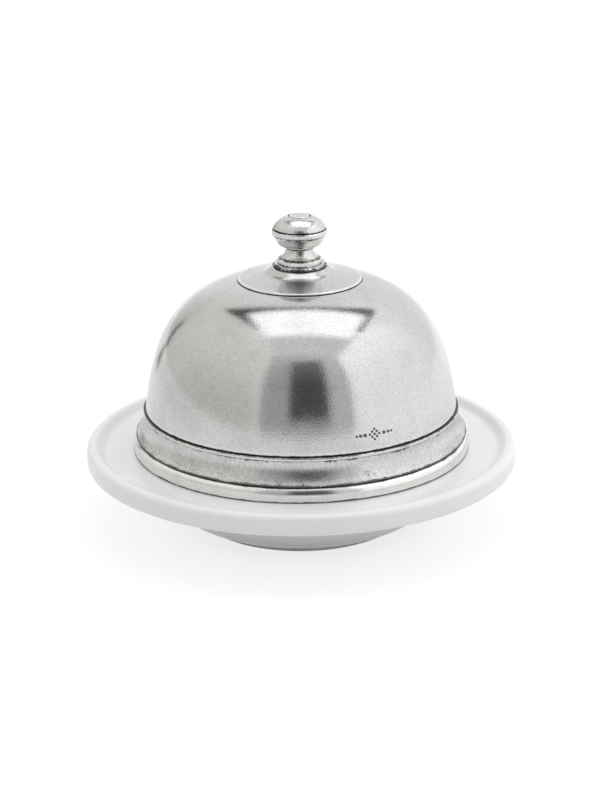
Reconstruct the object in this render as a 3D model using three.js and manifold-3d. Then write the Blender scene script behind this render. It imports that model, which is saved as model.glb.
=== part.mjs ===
// Covered butter dish: a pewter cover with a turned knob, standing on a glazed stoneware dish.
// Millimetres, +Z up. The origin is the middle of the foot ring, on the table.

import * as THREE from "three";
import { mergeVertices } from "three/addons/utils/BufferGeometryUtils.js";
import Module from "manifold-3d";

const degrees = THREE.MathUtils.degToRad;

// Cover: dome
const domeDiameter = 119.2;
const domeHeight = 50;
const domeWall = 2;
const flankLean = degrees(7.7);
const flankReach = 26;
const shoulderReach = 27.7;
const crownSlope = degrees(13.7);
const crownDiameter = 47;
const crownFlatDiameter = 16;
const seamRound = 0.6;

// Cover: coved band and the bead below it
const bandHeight = 10.3;
const bandFlare = 3.8;
const bandArris = 0.4;
const filletHeight = 1.5;
const filletProud = 0.9;
const filletRelief = 0.4;
const coveLift = 3;
const spigotHeight = 3;
const spigotWall = 1.6;
const skirtWall = 3.4;
const skirtLift = 0.6;
const beadHeight = 5.7;
const beadProud = 0.9;
const beadTopReach = 2.3;
const beadTopRise = 3.6;
const beadFootRound = 0.5;

// Cover: disc on the crown
const plateEdgeThickness = 0.6;
const plateEdgeRound = 0.3;
const plateHubThickness = 2.65;
const plateSlope = degrees(12.8);
const plateFlareWidth = 3;
const plateFlareRound = 2.5;

// Knob
const knobFootDiameter = 20.4;
const knobFootHeight = 1.45;
const knobFootTopRound = 0.9;
const knobFootUnderRound = 0.4;
const knobStepDiameter = 16.6;
const knobStepHeight = 1.75;
const waistDiameter = 10.1;
const waistBendDiameter = 10.8;
const waistBendRise = 1.3;
const knobStemHeight = 7.5;
const bowlMouthDiameter = 19.7;
const bowlHeight = 4.85;
const bowlBendInset = 0.95;
const bowlBendRise = 0.4;
const girdleDiameter = 20.9;
const girdleHeight = 2.2;
const girdleRound = 0.9;
const grooveDepth = 0.7;
const grooveWidth = 0.35;
const capDiameter = 20.5;
const capRise = 6.35;
const capDrop = 0.93;
const buttonDiameter = 7.8;
const buttonHeight = 1.2;
const buttonRound = 0.5;
const buttonSink = 1;
const buttonRim = 0.9;
const buttonHollow = 0.4;

// Screw that holds the knob from inside the dome
const screwDiameter = 4;
const screwGrip = 6.5;
const screwHeadDiameter = 7.6;
const screwHeadHeight = 2.6;
const screwHeadRound = 1.2;
const slotWidth = 1.1;
const slotDepth = 1.3;
const screwTipRoom = 0.8;
const washerDiameter = 12;
const washerThickness = 1;

// Dish
const ledgeWidth = 12.9;
const lipWidth = 5.3;
const lipRise = 2.3;
const lipLean = 1.4;
const lipTopRound = 1.8;
const lipSideRound = 2.4;
const lipUnderRound = 2.4;
const lipFootRound = 3;
const rimThickness = 6;
const rimFillet = 2;
const wellSetback = 4.5;
const wellDepth = 20.5;
const wellDraft = 6.5;
const wellCornerRound = 12.5;
const wellMouthRound = 2;
const dishWall = 5.5;
const baseThickness = 5.6;
const footDiameter = 78;
const footWidth = 5;
const footHeight = 3.1;
const footRound = 0.9;
const footFillet = 1.2;

// Fits and facets
const seamGap = 0.3;
const bedGap = 0.1;
const facetDepth = 0.2;
const wideSegments = 56;
const knobSegments = 30;
const screwSegments = 20;
const domeSteps = 10;
const crownSteps = 3;
const coveSteps = 5;
const beadSteps = 4;
const waistSteps = 5;
const bowlSteps = 5;
const capSteps = 6;
const hollowSteps = 3;

// Sizes that follow from those above
const domeRadius = domeDiameter / 2;
const crownRadius = crownDiameter / 2;
const crownFlatRadius = crownFlatDiameter / 2;
const bandFootRadius = domeRadius + bandFlare;
const beadRadius = bandFootRadius + beadProud;
const spigotRadius = domeRadius - domeWall - seamGap;
const bandBoreRadius = spigotRadius - spigotWall;
const skirtRadius = bandBoreRadius + skirtWall;
const lipInnerRadius = beadRadius + ledgeWidth;
const dishRadius = lipInnerRadius + lipWidth;
const wellRadius = bandBoreRadius - wellSetback;
const boreRadius = screwDiameter / 2 + seamGap;
const floorHeight = footHeight + baseThickness;
const ledgeHeight = floorHeight + wellDepth;
const bandTopHeight = beadHeight + bandHeight;
const crownRise = ((crownRadius ** 2 - crownFlatRadius ** 2) / (2 * crownRadius)) * Math.tan(crownSlope);
const crownFlatHeight = bandTopHeight + domeHeight + crownRise;
const knobSeatHeight = crownFlatHeight + plateHubThickness;
const washerTop = crownFlatHeight - domeWall;
const screwSeat = washerTop - washerThickness;

// Heights on the knob, from its seat on the disc
const girdleFoot = knobStemHeight + bowlHeight;
const girdleTop = girdleFoot + girdleHeight;
const capCentre = girdleTop - capDrop;
const recessRadius = buttonDiameter / 2 + seamGap;
const recessEdgeAngle = Math.acos(recessRadius / (capDiameter / 2));
const recessFloor = capCentre + capRise * Math.sin(recessEdgeAngle) - buttonSink;

// Materials
const pewter = new THREE.MeshStandardMaterial({ color: 0xb4b4b0, roughness: 0.34, metalness: 1 });
const steel = new THREE.MeshStandardMaterial({ color: 0x9a9b9c, roughness: 0.4, metalness: 1 });
const glaze = new THREE.MeshStandardMaterial({ color: 0xe8e8e5, roughness: 0.12, metalness: 0 });

// A corner of a turned outline, by its radius and height, and how far it is rounded
function corner(radius, height, round = 0) {
  return { at: new THREE.Vector2(radius, height), round };
}

// The points of a curve as sharp corners, so that it can be part of an outline
function along(curve, steps) {
  return curve.getPoints(steps).map((point) => corner(point.x, point.y));
}

// How far along both edges of a corner its rounding starts
function roundingReach(previous, current, next) {
  const back = previous.at.clone().sub(current.at);
  const ahead = next.at.clone().sub(current.at);
  const halfAngle = Math.abs(back.angleTo(ahead)) / 2;
  return current.round / Math.tan(halfAngle);
}

// The arc that replaces a corner, in steps that stay within the facet depth
function roundCorner(previous, current, next, reach) {
  const back = previous.at.clone().sub(current.at).normalize();
  const ahead = next.at.clone().sub(current.at).normalize();
  const halfAngle = Math.abs(back.angleTo(ahead)) / 2;
  const radius = reach * Math.tan(halfAngle);
  const middle = back.clone().add(ahead).normalize();
  const centre = current.at.clone().addScaledVector(middle, radius / Math.sin(halfAngle));
  const start = current.at.clone().addScaledVector(back, reach);
  const turn = Math.PI - 2 * halfAngle;
  const side = Math.sign(ahead.cross(back));
  const stepTurn = 2 * Math.acos(1 - Math.min(facetDepth / radius, 0.5));
  const steps = Math.max(1, Math.ceil(turn / stepTurn));
  const points = [];
  for (let step = 0; step <= steps; step += 1) {
    const angle = (side * turn * step) / steps;
    points.push(start.clone().rotateAround(centre, angle));
  }
  return points;
}

// An outline with its corners rounded, where two roundings on one edge share its length
function roundedOutline(corners, closed) {
  const count = corners.length;
  const neighbour = (index) => corners[(index + count) % count];
  const isEnd = (index) => !closed && (index === 0 || index === count - 1);
  const wanted = corners.map((current, index) =>
    current.round === 0 || isEnd(index)
      ? 0
      : roundingReach(neighbour(index - 1), current, neighbour(index + 1)),
  );
  const shareOfEdge = (index, other) => {
    const length = corners[index].at.distanceTo(neighbour(other).at);
    const total = wanted[index] + wanted[(other + count) % count];
    return total > length ? length / total : 1;
  };
  return corners.flatMap((current, index) => {
    if (wanted[index] === 0) return [current.at];
    const share = Math.min(shareOfEdge(index, index - 1), shareOfEdge(index, index + 1));
    return roundCorner(neighbour(index - 1), current, neighbour(index + 1), wanted[index] * share);
  });
}

// A piece turned round the Z axis: a ring where its outline closes, a full body where it ends on the axis
function turned(name, material, segments, corners) {
  const closed = corners[0].at.x > 0;
  const outline = roundedOutline(corners, closed);
  if (closed) outline.push(outline[0].clone());
  const geometry = new THREE.LatheGeometry(outline, segments);
  geometry.rotateX(Math.PI / 2);
  const mesh = new THREE.Mesh(geometry, material);
  mesh.name = name;
  return mesh;
}

// Dish: foot ring, drafted bowl, flat rim and raised lip, then the ledge and the well inside
function makeDish() {
  const footRadius = footDiameter / 2;
  const lipHeight = ledgeHeight + lipRise;
  const rimUnderside = ledgeHeight - rimThickness;
  const bowlRadius = wellRadius + dishWall;
  const bowlCornerRound = wellCornerRound + dishWall;
  return turned("dish", glaze, wideSegments, [
    corner(0, footHeight),
    corner(footRadius - footWidth, footHeight, footRound),
    corner(footRadius - footWidth, 0, footRound),
    corner(footRadius, 0, footRound),
    corner(footRadius, footHeight, footFillet),
    corner(bowlRadius - wellDraft, footHeight, bowlCornerRound),
    corner(bowlRadius, rimUnderside, rimFillet),
    corner(dishRadius, rimUnderside, lipUnderRound),
    corner(dishRadius, lipHeight, lipSideRound),
    corner(lipInnerRadius + lipLean, lipHeight, lipTopRound),
    corner(lipInnerRadius - lipLean, ledgeHeight, lipFootRound),
    corner(wellRadius, ledgeHeight, wellMouthRound),
    corner(wellRadius - wellDraft, floorHeight, wellCornerRound),
    corner(0, floorHeight),
  ]);
}

// Bead: the ring that the cover stands on, round the band's skirt, upright below and rolled in above
function makeBead() {
  const bore = skirtRadius + seamGap;
  const rollCentre = new THREE.Vector2(beadRadius - beadTopReach, beadHeight - beadTopRise);
  const roll = new THREE.EllipseCurve(rollCentre.x, rollCentre.y, beadTopReach, beadTopRise, 0, Math.PI / 2);
  return turned("foot_bead", pewter, wideSegments, [
    corner(bore, 0),
    corner(beadRadius, 0, beadFootRound),
    ...along(roll, beadSteps),
    corner(bore, beadHeight),
  ]);
}

// Band: skirt inside the bead, sharp arris, concave cove, thin fillet and the spigot inside the dome
function makeBand() {
  const filletRadius = domeRadius + filletProud;
  const coveTop = new THREE.Vector2(filletRadius - filletRelief, bandTopHeight - filletHeight);
  const coveFoot = new THREE.Vector2(bandFootRadius, beadHeight + bandArris);
  const coveBend = new THREE.Vector2(coveTop.x, coveFoot.y + coveLift);
  const cove = new THREE.QuadraticBezierCurve(coveFoot, coveBend, coveTop);
  const spigotLean = spigotHeight * Math.tan(flankLean);
  return turned("base_band", pewter, wideSegments, [
    corner(bandBoreRadius, skirtLift),
    corner(skirtRadius, skirtLift),
    corner(skirtRadius, beadHeight),
    corner(bandFootRadius - bandArris, beadHeight),
    ...along(cove, coveSteps),
    corner(filletRadius, coveTop.y + filletRelief),
    corner(filletRadius, bandTopHeight, seamRound),
    corner(spigotRadius, bandTopHeight),
    corner(spigotRadius - spigotLean, bandTopHeight + spigotHeight),
    corner(bandBoreRadius - spigotLean, bandTopHeight + spigotHeight),
    corner(bandBoreRadius, bandTopHeight),
  ]);
}

// The dome's outside from the band to the crown disc: a leaning flank that rolls into the crown
function domeFlank() {
  const foot = new THREE.Vector2(domeRadius, bandTopHeight);
  const crown = new THREE.Vector2(crownRadius, bandTopHeight + domeHeight);
  const upFlank = new THREE.Vector2(-Math.sin(flankLean), Math.cos(flankLean));
  const downCrown = new THREE.Vector2(Math.cos(crownSlope), -Math.sin(crownSlope));
  const flankBend = foot.clone().addScaledVector(upFlank, flankReach);
  const shoulderBend = crown.clone().addScaledVector(downCrown, shoulderReach);
  return new THREE.CubicBezierCurve(foot, flankBend, shoulderBend, crown);
}

// The crown's outside under the disc, which flattens towards the knob's seat
function crownCurve() {
  const edge = new THREE.Vector2(crownRadius, bandTopHeight + domeHeight);
  const bendRadius = (crownRadius + crownFlatRadius) / 2;
  const bend = new THREE.Vector2(bendRadius, edge.y + (crownRadius - bendRadius) * Math.tan(crownSlope));
  return new THREE.QuadraticBezierCurve(edge, bend, new THREE.Vector2(crownFlatRadius, crownFlatHeight));
}

// Points beside a curve that climbs inwards, moved square to it, outwards for a positive distance
function beside(curve, steps, distance) {
  return curve.getPoints(steps).map((point, step) => {
    const tangent = curve.getTangent(step / steps);
    return corner(point.x + tangent.y * distance, point.y - tangent.x * distance);
  });
}

// Dome: one spun shell of even wall, open below, with the screw's hole in its crown
function makeDome() {
  const flank = domeFlank();
  const crown = crownCurve();
  const outside = [...along(flank, domeSteps), ...along(crown, crownSteps).slice(1)];
  const inside = [...beside(flank, domeSteps, -domeWall), ...beside(crown, crownSteps, -domeWall).slice(1)];
  const insideFoot = corner(domeRadius - domeWall, bandTopHeight);
  const insideFlat = crownFlatHeight - domeWall;
  outside[0].round = seamRound;
  return turned("dome_shell", pewter, wideSegments, [
    ...outside,
    corner(boreRadius, crownFlatHeight),
    corner(boreRadius, insideFlat),
    corner(crownFlatRadius, insideFlat),
    ...inside.slice(1, -1).reverse(),
    insideFoot,
  ]);
}

// Disc: bedded on the crown, and flared up to a flat seat for the knob
function makePlate() {
  const crown = crownCurve();
  const underside = beside(crown, crownSteps, bedGap).reverse().slice(1);
  const edge = underside[underside.length - 1].at;
  const edgeTop = edge.y + plateEdgeThickness;
  const seatRadius = knobFootDiameter / 2 + seamGap;
  const flareRadius = seatRadius + plateFlareWidth;
  const flareHeight = edgeTop + (edge.x - flareRadius) * Math.tan(plateSlope);
  return turned("crown_plate", pewter, wideSegments, [
    corner(boreRadius, crownFlatHeight),
    corner(crownFlatRadius, crownFlatHeight),
    ...underside,
    corner(edge.x, edgeTop, plateEdgeRound),
    corner(flareRadius, flareHeight, plateFlareRound),
    corner(seatRadius, knobSeatHeight),
    corner(boreRadius, knobSeatHeight),
  ]);
}

// Stem: round foot, upright step and a hollow cone up to the ball
function makeStem() {
  const footRadius = knobFootDiameter / 2;
  const stepRadius = knobStepDiameter / 2;
  const stepTop = knobFootHeight + knobStepHeight;
  const waist = new THREE.QuadraticBezierCurve(
    new THREE.Vector2(stepRadius, stepTop),
    new THREE.Vector2(waistBendDiameter / 2, stepTop + waistBendRise),
    new THREE.Vector2(waistDiameter / 2, knobStemHeight),
  );
  return turned("knob_stem", pewter, knobSegments, [
    corner(boreRadius, 0),
    corner(footRadius, 0, knobFootUnderRound),
    corner(footRadius, knobFootHeight, knobFootTopRound),
    corner(stepRadius, knobFootHeight),
    ...along(waist, waistSteps),
    corner(boreRadius, knobStemHeight),
  ]);
}

// Ball: bowl, raised girdle, groove and a low cap, with the screw's bore below and a recess on top
function makeBall() {
  const mouthRadius = bowlMouthDiameter / 2;
  const girdleRadius = girdleDiameter / 2;
  const capRadius = capDiameter / 2;
  const boreEnd = knobStemHeight + screwGrip + screwTipRoom;
  const bowl = new THREE.QuadraticBezierCurve(
    new THREE.Vector2(waistDiameter / 2, knobStemHeight),
    new THREE.Vector2(mouthRadius - bowlBendInset, knobStemHeight + bowlBendRise),
    new THREE.Vector2(mouthRadius, girdleFoot),
  );
  const capFootAngle = Math.asin((capDrop + grooveWidth) / capRise);
  const cap = new THREE.EllipseCurve(0, capCentre, capRadius, capRise, capFootAngle, recessEdgeAngle);
  return turned("knob_ball", pewter, knobSegments, [
    corner(0, boreEnd),
    corner(boreRadius, boreEnd),
    corner(boreRadius, knobStemHeight),
    ...along(bowl, bowlSteps),
    corner(girdleRadius, girdleFoot, girdleRound),
    corner(girdleRadius, girdleTop, girdleRound),
    corner(girdleRadius - grooveDepth, girdleTop),
    ...along(cap, capSteps),
    corner(recessRadius, recessFloor),
    corner(0, recessFloor),
  ]);
}

// Button: a low disc with a hollowed top, let into the recess on the ball
function makeButton() {
  const top = recessFloor + buttonHeight;
  const radius = buttonDiameter / 2;
  const hollowRadius = radius - buttonRim;
  const hollow = new THREE.QuadraticBezierCurve(
    new THREE.Vector2(hollowRadius, top),
    new THREE.Vector2(hollowRadius / 2, top - buttonHollow),
    new THREE.Vector2(0, top - buttonHollow),
  );
  return turned("knob_button", pewter, knobSegments, [
    corner(0, recessFloor),
    corner(radius, recessFloor),
    corner(radius, top, buttonRound),
    ...along(hollow, hollowSteps),
  ]);
}

const wasm = await Module();
wasm.setup();

// A closed geometry as a solid that can be cut
function asSolid(geometry) {
  const bare = geometry.clone();
  bare.deleteAttribute("normal");
  bare.deleteAttribute("uv");
  const merged = mergeVertices(bare);
  const vertProperties = Float32Array.from(merged.attributes.position.array);
  const triVerts = Uint32Array.from(merged.index.array);
  return new wasm.Manifold(new wasm.Mesh({ numProp: 3, vertProperties, triVerts }));
}

// A cut solid as a geometry again
function asGeometry(solid) {
  const { vertProperties, triVerts } = solid.getMesh();
  const geometry = new THREE.BufferGeometry();
  geometry.setAttribute("position", new THREE.BufferAttribute(Float32Array.from(vertProperties), 3));
  geometry.setIndex(new THREE.BufferAttribute(Uint32Array.from(triVerts), 1));
  geometry.computeVertexNormals();
  return geometry;
}

// Washer: flat against the inside of the crown
function makeWasher() {
  return turned("screw_washer", steel, screwSegments, [
    corner(boreRadius, screwSeat),
    corner(washerDiameter / 2, screwSeat),
    corner(washerDiameter / 2, washerTop),
    corner(boreRadius, washerTop),
  ]);
}

// Screw: slotted pan head under the washer, and a shank up through the stem into the ball
function makeScrew() {
  const tip = knobSeatHeight + knobStemHeight + screwGrip;
  const headRadius = screwHeadDiameter / 2;
  const screw = turned("knob_screw", steel, screwSegments, [
    corner(0, screwSeat - screwHeadHeight),
    corner(headRadius, screwSeat - screwHeadHeight, screwHeadRound),
    corner(headRadius, screwSeat),
    corner(screwDiameter / 2, screwSeat),
    corner(screwDiameter / 2, tip),
    corner(0, tip),
  ]);
  const slot = new THREE.BoxGeometry(screwHeadDiameter * 2, slotWidth, slotDepth * 2);
  slot.translate(0, 0, screwSeat - screwHeadHeight);
  screw.geometry = asGeometry(asSolid(screw.geometry).subtract(asSolid(slot)));
  return screw;
}

// The knob is modelled from its seat up, the cover from the ledge that it stands on
const knob = new THREE.Group();
knob.position.z = knobSeatHeight;
knob.add(makeStem(), makeBall(), makeButton());

const cover = new THREE.Group();
cover.position.z = ledgeHeight;
cover.add(makeBead(), makeBand(), makeDome(), makePlate(), makeWasher(), makeScrew(), knob);

const butterDish = new THREE.Group();
butterDish.name = "covered_butter_dish";
butterDish.add(makeDish(), cover);

export default butterDish;
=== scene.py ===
import math
import bpy
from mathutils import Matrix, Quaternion, Vector


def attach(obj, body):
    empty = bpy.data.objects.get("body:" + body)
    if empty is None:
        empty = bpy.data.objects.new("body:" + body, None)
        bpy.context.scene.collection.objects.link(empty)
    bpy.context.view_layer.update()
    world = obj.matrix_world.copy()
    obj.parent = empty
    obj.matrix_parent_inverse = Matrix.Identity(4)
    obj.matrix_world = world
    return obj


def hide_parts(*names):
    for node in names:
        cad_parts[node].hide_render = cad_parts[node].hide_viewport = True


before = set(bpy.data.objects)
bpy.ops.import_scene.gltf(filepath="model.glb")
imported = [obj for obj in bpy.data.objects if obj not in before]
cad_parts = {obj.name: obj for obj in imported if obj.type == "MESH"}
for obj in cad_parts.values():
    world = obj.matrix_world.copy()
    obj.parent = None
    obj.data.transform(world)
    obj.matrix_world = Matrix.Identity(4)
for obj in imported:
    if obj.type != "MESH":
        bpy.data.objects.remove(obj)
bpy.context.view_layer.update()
print("frame loaded:", len(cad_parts), "solids")

mm = 0.001        # the sizes below are in millimetres, the scene is in metres
arcStep = 7.5     # degrees of a rounding for each row
edgeShare = 0.98  # how much of an edge its roundings may take
mergeWithin = 1e-6
sharpAngle = math.radians(38)  # sharper edges stay crisp


# node helpers, for shaders and geometry trees alike
def addNode(tree, kind, inputs=None, **settings):
    node = tree.nodes.new(kind)
    for key, value in settings.items():
        setattr(node, key, value)
    for key, value in (inputs or {}).items():
        if isinstance(value, bpy.types.NodeSocket):
            tree.links.new(value, node.inputs[key])
        else:
            node.inputs[key].default_value = value
    return node


def calc(tree, operation, *values):
    inputs = dict(enumerate(values))
    return addNode(tree, "ShaderNodeMath", inputs, operation=operation).outputs[0]


def calcVector(tree, operation, *values, **named):
    inputs = dict(enumerate(values))
    inputs.update(named)
    return addNode(tree, "ShaderNodeVectorMath", inputs, operation=operation).outputs[0]


def measure(tree, operation, *vectors):  # a length, distance or dot product
    inputs = dict(enumerate(vectors))
    return addNode(tree, "ShaderNodeVectorMath", inputs, operation=operation).outputs["Value"]


def ramp(tree, value, low, high, toLow=0.0, toHigh=1.0):  # smooth step from one value to another
    inputs = {"Value": value, "From Min": low, "From Max": high, "To Min": toLow, "To Max": toHigh}
    return addNode(tree, "ShaderNodeMapRange", inputs, interpolation_type="SMOOTHSTEP").outputs[0]


def mixColour(tree, factor, first, second):
    node = addNode(tree, "ShaderNodeMix", {0: factor, 6: first, 7: second}, data_type="RGBA")
    return node.outputs[2]


def grey(tone):
    return (tone, tone, tone, 1.0)


def noiseOn(tree, place, scale, detail=3.0, roughness=0.55):
    inputs = {"Vector": place, "Scale": scale, "Detail": detail, "Roughness": roughness}
    return addNode(tree, "ShaderNodeTexNoise", inputs, noise_dimensions="3D").outputs["Fac"]


def centred(tree, noise):  # from -0.5 to 0.5
    return calc(tree, "SUBTRACT", noise, 0.5)


def attributeOf(tree, name):  # in a shader
    return addNode(tree, "ShaderNodeAttribute", attribute_name=name).outputs["Fac"]


def storedValue(tree, name):  # in a geometry tree
    inputs = {"Name": name}
    return addNode(tree, "GeometryNodeInputNamedAttribute", inputs, data_type="FLOAT").outputs[0]


def bumpOn(tree, shader, relief):  # relief in millimetres
    bump = addNode(tree, "ShaderNodeBump", {"Strength": 1.0, "Distance": mm, "Height": relief})
    tree.links.new(bump.outputs[0], shader.inputs["Normal"])


def linkScene(name, data):
    holder = bpy.data.objects.new(name, data)
    bpy.context.scene.collection.objects.link(holder)
    return holder


def newMaterial(name):
    material = bpy.data.materials.new(name)
    material.use_nodes = True
    tree = material.node_tree
    return material, tree, tree.nodes["Principled BSDF"]


# outlines for the lathe: corners of (radius, height, rounding)
def corner(radius, height, rounding=0.0):
    return Vector((radius, height)), rounding


def bezierRun(points, steps):
    knots = [Vector(point) for point in points]
    run = []
    for step in range(steps + 1):
        share = step / steps
        level = list(knots)
        while len(level) > 1:
            level = [a.lerp(b, share) for a, b in zip(level, level[1:])]
        run.append((level[0], 0.0))
    return run


def ellipseRun(centre, reach, fromAngle, toAngle, steps):
    run = []
    for step in range(steps + 1):
        angle = math.radians(fromAngle + (toAngle - fromAngle) * step / steps)
        run.append(corner(centre[0] + reach[0] * math.cos(angle), centre[1] + reach[1] * math.sin(angle)))
    return run


def besideRun(run, distance):  # the same run, moved square to itself
    moved = []
    last = len(run) - 1
    for index, (point, _) in enumerate(run):
        along = (run[min(index + 1, last)][0] - run[max(index - 1, 0)][0]).normalized()
        moved.append((point + Vector((along.y, -along.x)) * distance, 0.0))
    return moved


def raised(corners, height):
    return [(point + Vector((0, height)), rounding) for point, rounding in corners]


def roundedCorner(before, here, after, reach):
    back = (before - here).normalized()
    ahead = (after - here).normalized()
    half = back.angle(ahead) / 2
    middle = here + (back + ahead).normalized() * (reach / math.cos(half))
    start = here + back * reach - middle
    turn = math.pi - 2 * half
    side = 1.0 if back.cross(ahead) < 0 else -1.0
    steps = max(3, math.ceil(math.degrees(turn) / arcStep))
    arc = []
    for step in range(steps + 1):
        angle = side * turn * step / steps
        turned = Vector((start.x * math.cos(angle) - start.y * math.sin(angle),
                         start.x * math.sin(angle) + start.y * math.cos(angle)))
        arc.append(middle + turned)
    return arc


def roundedOutline(corners, closed):
    count = len(corners)
    points = [point for point, _ in corners]
    reaches = []
    for index, (point, rounding) in enumerate(corners):
        isEnd = not closed and index in (0, count - 1)
        if rounding == 0 or isEnd:
            reaches.append(0.0)
            continue
        half = (points[index - 1] - point).angle(points[(index + 1) % count] - point) / 2
        reaches.append(rounding / math.tan(half))
    outline = []
    for index, point in enumerate(points):
        if reaches[index] == 0:
            outline.append(point)
            continue
        share = 1.0
        for other in (index - 1, (index + 1) % count):  # two roundings on one edge share its length
            length = (points[other] - point).length
            share = min(share, edgeShare * length / (reaches[index] + reaches[other]))
        after = points[(index + 1) % count]
        outline.extend(roundedCorner(points[index - 1], point, after, reaches[index] * share))
    return outline


def withRows(outline, rowGap, fineRows=None):  # splits long stretches, so that the mesh has enough rows
    rows = [outline[0]]
    for start, end in zip(outline, outline[1:]):
        gap = rowGap
        middle = (start + end) / 2
        if fineRows and fineRows["from"] < middle.y < fineRows["to"] and middle.x > fineRows["beyond"]:
            gap = fineRows["gap"]
        parts = max(1, math.ceil((end - start).length / gap))
        rows.extend(start.lerp(end, part / parts) for part in range(1, parts + 1))
    return rows


def nearness(point, spots):  # 1 at a spot, fading to 0 at its reach
    best = 0.0
    for radius, height, reach, strength in spots:
        share = 1 - (point - Vector((radius, height))).length / reach
        if share > 0:
            best = max(best, strength * share * share * (3 - 2 * share))
    return best


# geometry trees
def newTree(name, inputs):
    tree = bpy.data.node_groups.new(name, "GeometryNodeTree")
    for label, kind, value in inputs:
        socket = tree.interface.new_socket(name=label, in_out="INPUT", socket_type=kind)
        if value is not None:
            socket.default_value = value
    tree.interface.new_socket(name="Piece", in_out="OUTPUT", socket_type="NodeSocketGeometry")
    return tree, addNode(tree, "NodeGroupInput").outputs


def storeValue(tree, geometry, name, value, kind="FLOAT", domain="POINT"):
    return addNode(tree, "GeometryNodeStoreNamedAttribute", {
        "Geometry": geometry, "Name": name, "Value": value}, data_type=kind, domain=domain).outputs[0]


def movePoints(tree, geometry, **how):
    return addNode(tree, "GeometryNodeSetPosition", {"Geometry": geometry, **how}).outputs[0]


def finishTree(tree, geometry, material):
    geometry = addNode(tree, "GeometryNodeRealizeInstances", {"Geometry": geometry}).outputs[0]
    finished = addNode(tree, "GeometryNodeSetMaterial", {"Geometry": geometry, "Material": material})
    addNode(tree, "NodeGroupOutput", {0: finished.outputs[0]})


# the lathe: turns an outline round the Z axis
def makeLatheTree():
    tree, given = newTree("turnOnLathe", [
        ("Outline", "NodeSocketGeometry", None),
        ("Columns", "NodeSocketInt", 192),
        ("Crowding", "NodeSocketFloat", 0.0),
        ("Crowding Angle", "NodeSocketFloat", 0.0),
        ("Wobble", "NodeSocketFloat", 0.0),
        ("Wobble Size", "NodeSocketFloat", 0.012),
        ("Seed", "NodeSocketFloat", 0.0),
        ("Finish", "NodeSocketMaterial", None),
    ])
    count = addNode(tree, "GeometryNodeAttributeDomainSize", {0: given["Outline"]}).outputs["Point Count"]
    columns = given["Columns"]
    sheet = addNode(tree, "GeometryNodeMeshGrid", {
        "Size X": 1.0, "Size Y": 1.0, "Vertices X": calc(tree, "ADD", columns, 1.0), "Vertices Y": count})
    index = addNode(tree, "GeometryNodeInputIndex").outputs[0]
    row = calc(tree, "MODULO", index, count)
    column = calc(tree, "FLOOR", calc(tree, "DIVIDE", calc(tree, "ADD", index, 0.5), count))
    turn = calc(tree, "MULTIPLY", calc(tree, "DIVIDE", column, columns), math.tau)
    crowding = calc(tree, "MULTIPLY", given["Crowding"], calc(tree, "SINE", turn))
    angle = calc(tree, "ADD", calc(tree, "SUBTRACT", turn, crowding), given["Crowding Angle"])
    position = addNode(tree, "GeometryNodeInputPosition").outputs[0]

    def fromOutline(value, kind):
        inputs = {"Geometry": given["Outline"], "Value": value, "Index": row}
        return addNode(tree, "GeometryNodeSampleIndex", inputs, data_type=kind).outputs[0]

    spot = addNode(tree, "ShaderNodeSeparateXYZ", {0: fromOutline(position, "FLOAT_VECTOR")}).outputs
    turned = addNode(tree, "ShaderNodeCombineXYZ", {
        "X": calc(tree, "MULTIPLY", spot["X"], calc(tree, "COSINE", angle)),
        "Y": calc(tree, "MULTIPLY", spot["X"], calc(tree, "SINE", angle)),
        "Z": spot["Z"]}).outputs[0]
    geometry = sheet.outputs["Mesh"]
    for name in ("patina", "polish", "run"):
        geometry = storeValue(tree, geometry, name, fromOutline(storedValue(tree, name), "FLOAT"))
    geometry = storeValue(tree, geometry, "UVMap", sheet.outputs["UV Map"], "FLOAT2", "CORNER")
    geometry = movePoints(tree, geometry, Position=turned)
    merged = addNode(tree, "GeometryNodeMergeByDistance", {"Geometry": geometry, "Distance": mergeWithin})
    geometry = merged.outputs[0]
    # hand finishing leaves the surface a little uneven
    waves = calcVector(tree, "DIVIDE", position, calcVector(tree, "ADD", given["Wobble Size"], (0, 0, 0)))
    inputs = {"Vector": waves, "W": given["Seed"], "Scale": 1.0, "Detail": 1.0}
    noise = addNode(tree, "ShaderNodeTexNoise", inputs, noise_dimensions="4D").outputs["Fac"]
    height = calc(tree, "MULTIPLY", centred(tree, noise), given["Wobble"])
    normal = addNode(tree, "GeometryNodeInputNormal").outputs[0]
    geometry = movePoints(tree, geometry, Offset=calcVector(tree, "SCALE", normal, Scale=height))
    geometry = addNode(tree, "GeometryNodeSetShadeSmooth", {"Geometry": geometry}).outputs[0]
    finishTree(tree, geometry, given["Finish"])
    return tree


latheTree = makeLatheTree()


def giveInputs(modifier, values):  # a tree's inputs go by identifier
    for item in modifier.node_group.interface.items_tree:
        if item.item_type == "SOCKET" and item.in_out == "INPUT" and item.name in values:
            modifier[item.identifier] = values[item.name]


def addTree(holder, tree, values):
    modifier = holder.modifiers.new(tree.name, "NODES")
    modifier.node_group = tree
    giveInputs(modifier, values)


def outlineObject(name, outline, closed, piece):
    points = outline + outline[:1] if closed else outline
    mesh = bpy.data.meshes.new(name + "Outline")
    vertices = [(point.x * mm, 0.0, point.y * mm) for point in points]
    edges = [(index, index + 1) for index in range(len(points) - 1)]
    mesh.from_pydata(vertices, edges, [])
    run = [0.0]
    for start, end in zip(points, points[1:]):
        run.append(run[-1] + (end - start).length * mm)
    values = {
        "patina": [nearness(point, piece.get("recesses", ())) for point in points],
        "polish": [nearness(point, piece.get("arrises", ())) for point in points],
        "run": run,
    }
    for key, numbers in values.items():
        mesh.attributes.new(key, "FLOAT", "POINT").data.foreach_set("value", numbers)
    return linkScene(name + "Outline", mesh)


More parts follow.
